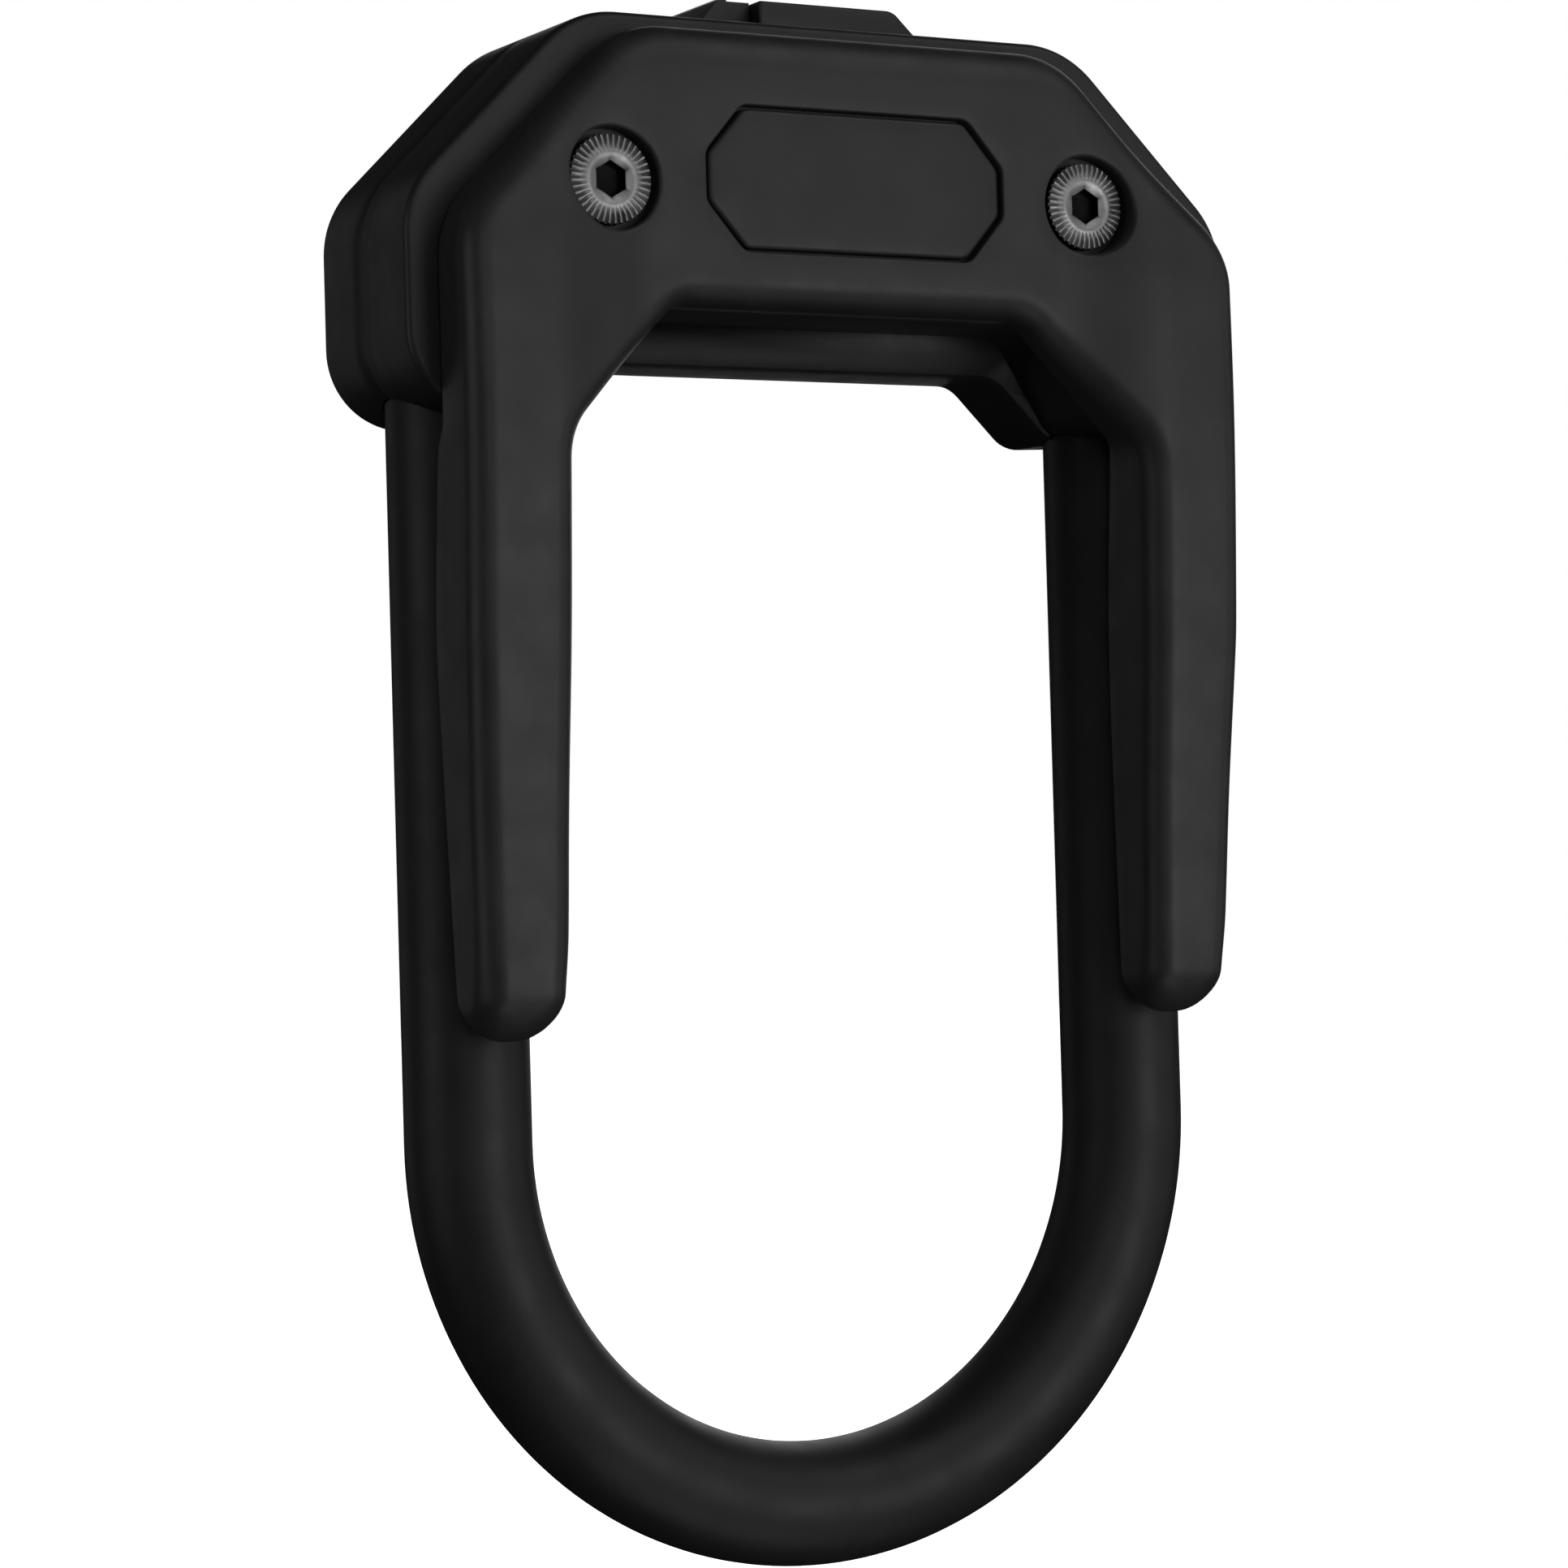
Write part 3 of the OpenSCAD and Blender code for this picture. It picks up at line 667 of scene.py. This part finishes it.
def clip_screw(side):
    """Button screw with a serrated rim, a dished ring and a hexagon socket."""
    head = screw_lo.y
    profile = [
        (0.6, head + 2.0), (2.2, head + 1.9), (HEX_R, head + 1.7), (HEX_R, head + 0.4),
        (HEX_R + 0.35, head + 0.12), (HEX_R + 0.8, head + 0.02), (3.6, head + 0.0),
        (3.9, head + 0.1), (4.6, head + 0.12), (5.3, head + 0.16), (screw_r - 0.12, head + 0.3),
        (screw_r, head + 0.6), (screw_r, head + 2.2), (2.5, head + 2.2), (2.5, screw_hi.y),
    ]

    def shift(row, a, radius):
        if row in (2, 3):
            return hex_radius(a), 0.0
        if 8 <= row <= 10:
            tooth = 0.5 + 0.5 * math.cos(TEETH * a)
            return radius, 0.34 * tooth ** 1.5
        return radius, 0.0

    bm = bmesh.new()
    lathe(bm, profile, TEETH * 6, (side * screw_x, screw_z), shift)
    name = "left" if side < 0 else "right"
    piece = finish_mesh(bm, "button_screw_" + name, SCREW, math.radians(30))
    place(piece, "crossbar", "screw_steel", "clip_screw_" + name)


for side in (-1, 1):
    clip_screw(side)


# ---------- shackle sleeve ----------

def sleeve():
    """Soft tube over the bar, with a rounded lip at the top of each leg."""
    around, arc, lip = 64, 96, 0.5
    top = sleeve_hi.z
    route = []
    for radius, z in ((BAR_R + 0.02, top - 4), (BAR_R + 0.02, top - lip * 0.6),
                      (BAR_R + lip, top), (SLEEVE_R - lip, top),
                      (SLEEVE_R - 0.15, top - 0.17), (SLEEVE_R, top - lip)):
        route.append((Vector((-LEG_X, 0, z)), Vector((1, 0, 0)), radius))
    down = 30
    for k in range(1, down + 1):
        z = top - lip + (BEND_Z - top + lip) * k / down
        route.append((Vector((-LEG_X, 0, z)), Vector((1, 0, 0)), SLEEVE_R))
    for k in range(1, arc // 2 + 1):
        a = math.pi * k / arc
        inner = Vector((math.cos(a), 0, math.sin(a)))
        centre = Vector((-LEG_X * math.cos(a), 0, BEND_Z - LEG_X * math.sin(a)))
        route.append((centre, inner, SLEEVE_R))
    other = [(Vector((-c.x, 0, c.z)), Vector((-i.x, 0, i.z)), r) for c, i, r in route[:-1]]
    bm = bmesh.new()
    rings = []
    for centre, inner, radius in route + other[::-1]:
        out = Vector((0, 1, 0))
        ring = []
        for k in range(around):
            a = 2 * math.pi * k / around
            p = centre + (inner * math.cos(a) + out * math.sin(a)) * radius
            ring.append(bm.verts.new(p * MM))
        rings.append(ring)
    for a, b in zip(rings, rings[1:]):
        for i in range(around):
            bm.faces.new((a[i - 1], a[i], b[i], b[i - 1]))
    piece = finish_mesh(bm, "shackle_cover_tube", SLEEVE)
    place(piece, "shackle", "sleeve", "shackle_sleeve")


sleeve()


# ---------- keyway cover and its stop ----------

def softened(name, node, material, width, body, slot):
    """A CAD node with whole faces and softly rounded edges."""
    bm = cad_copy(node)
    bmesh.ops.dissolve_limit(bm, angle_limit=math.radians(2), verts=bm.verts, edges=bm.edges)
    edges = [e for e in bm.edges if len(e.link_faces) == 2
             and e.calc_face_angle(0) > math.radians(20) and e.calc_length() > 2.2 * width * MM]
    bmesh.ops.bevel(bm, geom=edges, offset=width * MM, segments=4, profile=0.5,
                    affect="EDGES", clamp_overlap=True)
    place(finish_mesh(bm, name, material), body, slot, node)


softened("keyway_stop", "key_bezel", COVER, 0.45, "crossbar", "shell")
softened("sliding_cover", "dust_cover", COVER, 0.45, "cover", "cover_plastic")


# ---------- stage ----------

FLOOR_GAP = 0.004    # metres between the floor and the shackle when it is slid out


def floor():
    """Pale floor, low enough for the shackle to slide out above it."""
    drop = max(j["range_m"][1] for j in frame["joints"] if "range_m" in j)
    level = cad_box[0].z - drop - FLOOR_GAP
    bm = bmesh.new()
    bmesh.ops.create_grid(bm, x_segments=1, y_segments=1, size=4.0)
    bmesh.ops.translate(bm, verts=bm.verts, vec=(0, 0, level))
    f = Finish("pale_floor", Roughness=0.9, Specular_IOR_Level=0.1)
    f.tone(f.noise(60, 2), grey(0.93), grey(0.96))
    f.shader.inputs["Emission Color"].default_value = (1, 1, 1, 1)
    f.shader.inputs["Emission Strength"].default_value = 1.3
    piece = finish_mesh(bm, "studio_floor", f.material)
    piece.visible_diffuse = False
    piece.visible_glossy = False
    piece.visible_shadow = False


def world():
    """White behind the object, and a dimmer soft light all round it."""
    w = bpy.data.worlds.new("studio")
    bpy.context.scene.world = w
    w.use_nodes = True
    tree = w.node_tree
    tree.nodes.clear()
    seen, lit = (tree.nodes.new("ShaderNodeBackground") for _ in range(2))
    seen.inputs["Strength"].default_value = 1.0
    seen.inputs["Color"].default_value = (1, 1, 1, 1)
    lit.inputs["Strength"].default_value = WORLD_LIGHT
    lit.inputs["Color"].default_value = (1, 1, 1, 1)
    mix = tree.nodes.new("ShaderNodeMixShader")
    path = tree.nodes.new("ShaderNodeLightPath")
    out = tree.nodes.new("ShaderNodeOutputWorld")
    tree.links.new(path.outputs["Is Camera Ray"], mix.inputs[0])
    tree.links.new(lit.outputs[0], mix.inputs[1])
    tree.links.new(seen.outputs[0], mix.inputs[2])
    tree.links.new(mix.outputs[0], out.inputs["Surface"])


def softbox(name, direction, distance, size, power):
    """Square soft light that faces the middle of the lock."""
    middle = (cad_box[0] + cad_box[1]) / 2
    data = bpy.data.lights.new(name, "AREA")
    data.shape = "RECTANGLE"
    data.size, data.size_y = size
    data.energy = power
    light = bpy.data.objects.new(name, data)
    back = Vector(direction).normalized()
    light.location = middle + back * distance
    light.rotation_euler = back.to_track_quat("Z", "Y").to_euler()
    bpy.context.scene.collection.objects.link(light)


WORLD_LIGHT = 0.008
# name, direction from the lock, distance and size in metres, power in watts
SOFTBOXES = [
    ("key", (0.36, -0.90, -0.12), 1.3, (0.7, 0.8), 3.7),
    ("key_side", (0.50, -0.85, 0.22), 1.3, (0.9, 1.3), 0.8),
    ("key_high", (0.45, -0.65, 0.75), 1.3, (0.9, 0.6), 2.2),
    ("front", (-0.35, -0.93, 0.35), 1.3, (0.7, 0.9), 1.8),
    ("left", (-0.98, -0.05, 0.10), 1.2, (0.6, 1.0), 1.8),
    ("right", (0.95, -0.35, 0.10), 1.2, (0.6, 1.0), 1.0),
    ("low", (0.10, -0.55, -0.85), 1.3, (1.0, 0.8), 2.2),
    ("rim", (-0.45, 0.90, 0.20), 1.2, (0.5, 1.2), 0.42),
    ("back", (0.60, 0.75, 0.35), 1.2, (0.8, 1.0), 3),
]

floor()
world()
for name, direction, distance, size, power in SOFTBOXES:
    softbox(name, direction, distance, size, power)


# ---------- camera ----------

YAW, PITCH, ROLL = (math.radians(a) for a in (29.393, 1.286, -1.616))
LENS = 103.78
STAND = Vector((-0.3037, -0.5351, -0.0702))


def camera():
    data = bpy.data.cameras.new("camera")
    data.sensor_width = 36
    data.lens = LENS
    data.clip_start, data.clip_end = 0.01, 50
    across = Vector((math.cos(YAW), -math.sin(YAW), 0))
    ahead = Vector((math.sin(YAW), math.cos(YAW), 0))
    up = Vector((0, 0, 1))
    ahead, up = (ahead * math.cos(PITCH) + up * math.sin(PITCH),
                 up * math.cos(PITCH) - ahead * math.sin(PITCH))
    across, up = (across * math.cos(ROLL) + up * math.sin(ROLL),
                  up * math.cos(ROLL) - across * math.sin(ROLL))
    eye = bpy.data.objects.new("camera", data)
    turn = Matrix((across, up, -ahead)).transposed()
    eye.matrix_world = Matrix.Translation(STAND) @ turn.to_4x4()
    bpy.context.scene.collection.objects.link(eye)
    bpy.context.scene.camera = eye


camera()
bpy.context.scene.view_settings.view_transform = "Standard"
